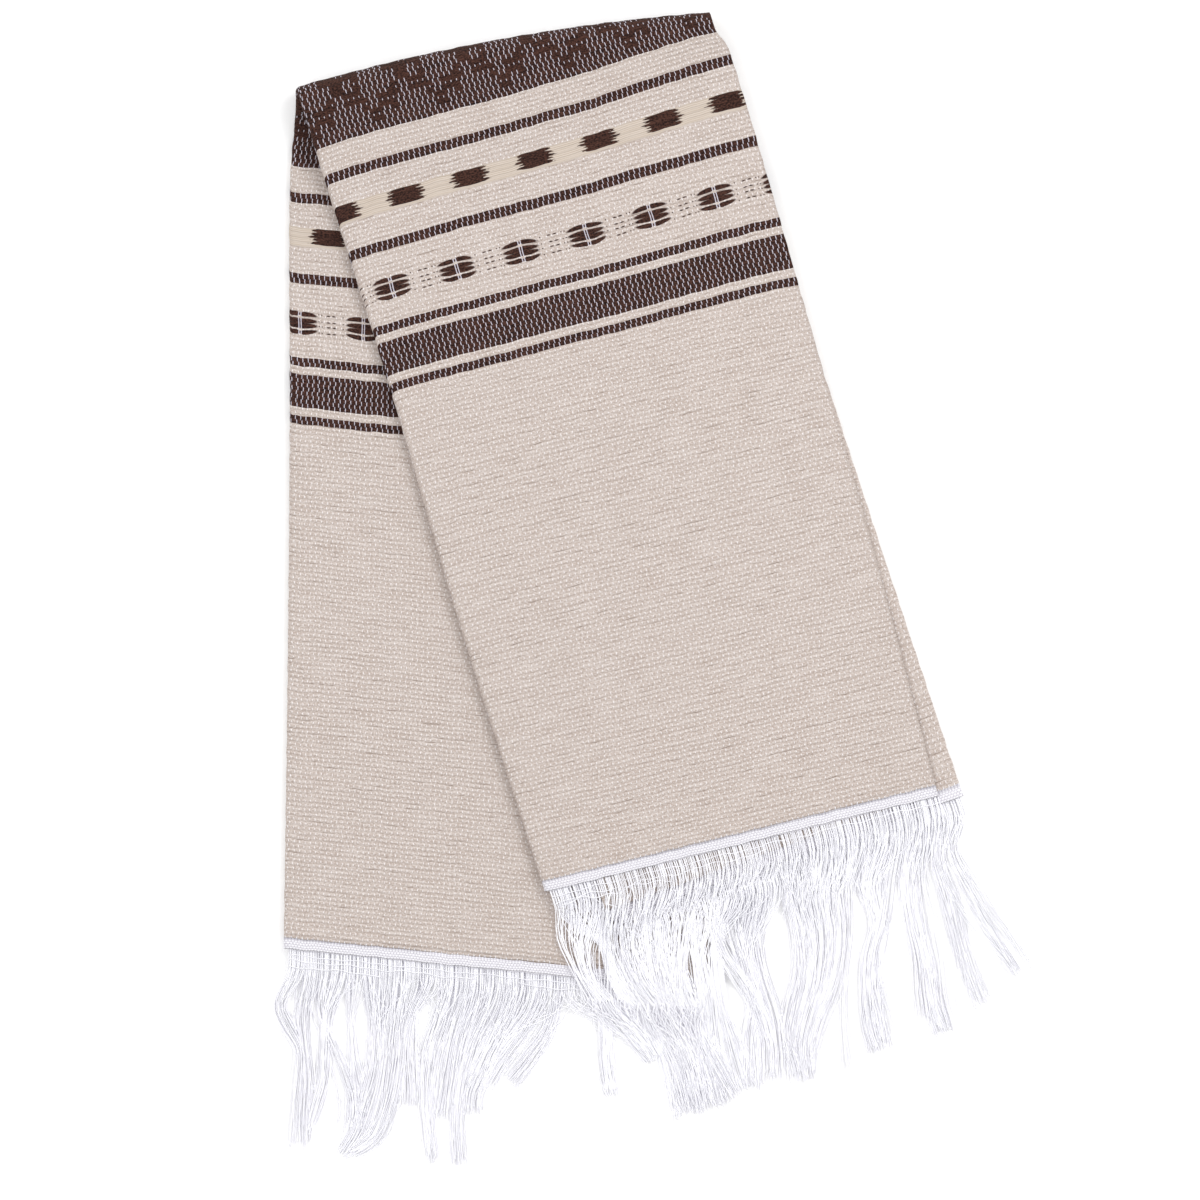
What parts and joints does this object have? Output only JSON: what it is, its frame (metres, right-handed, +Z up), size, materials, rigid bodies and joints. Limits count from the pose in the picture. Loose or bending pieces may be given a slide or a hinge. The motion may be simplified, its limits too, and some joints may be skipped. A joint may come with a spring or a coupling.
{
  "type": "folded tea towel",
  "caption": "Woven cotton tea towel with striped and resist-dyed bands and a long fringe at both ends, folded in three and then across on a slant, lying flat.",
  "frame": {"origin": "on the surface that the towel lies on, under the middle of its bounding box", "axes": "+Y from the fringes towards the slanted fold, +Z up from the surface, +X to the right as seen from above"},
  "size_m": [0.3042, 0.4776, 0.0158],
  "materials": {
    "woven_cotton": "matte",
    "white_cotton_yarn": "matte"
  },
  "bodies": {
    "root": {"towel-cloth": "woven_cotton", "front-heading-fringe": "white_cotton_yarn", "rear-heading-fringe": "white_cotton_yarn"}
  },
  "joints": []
}
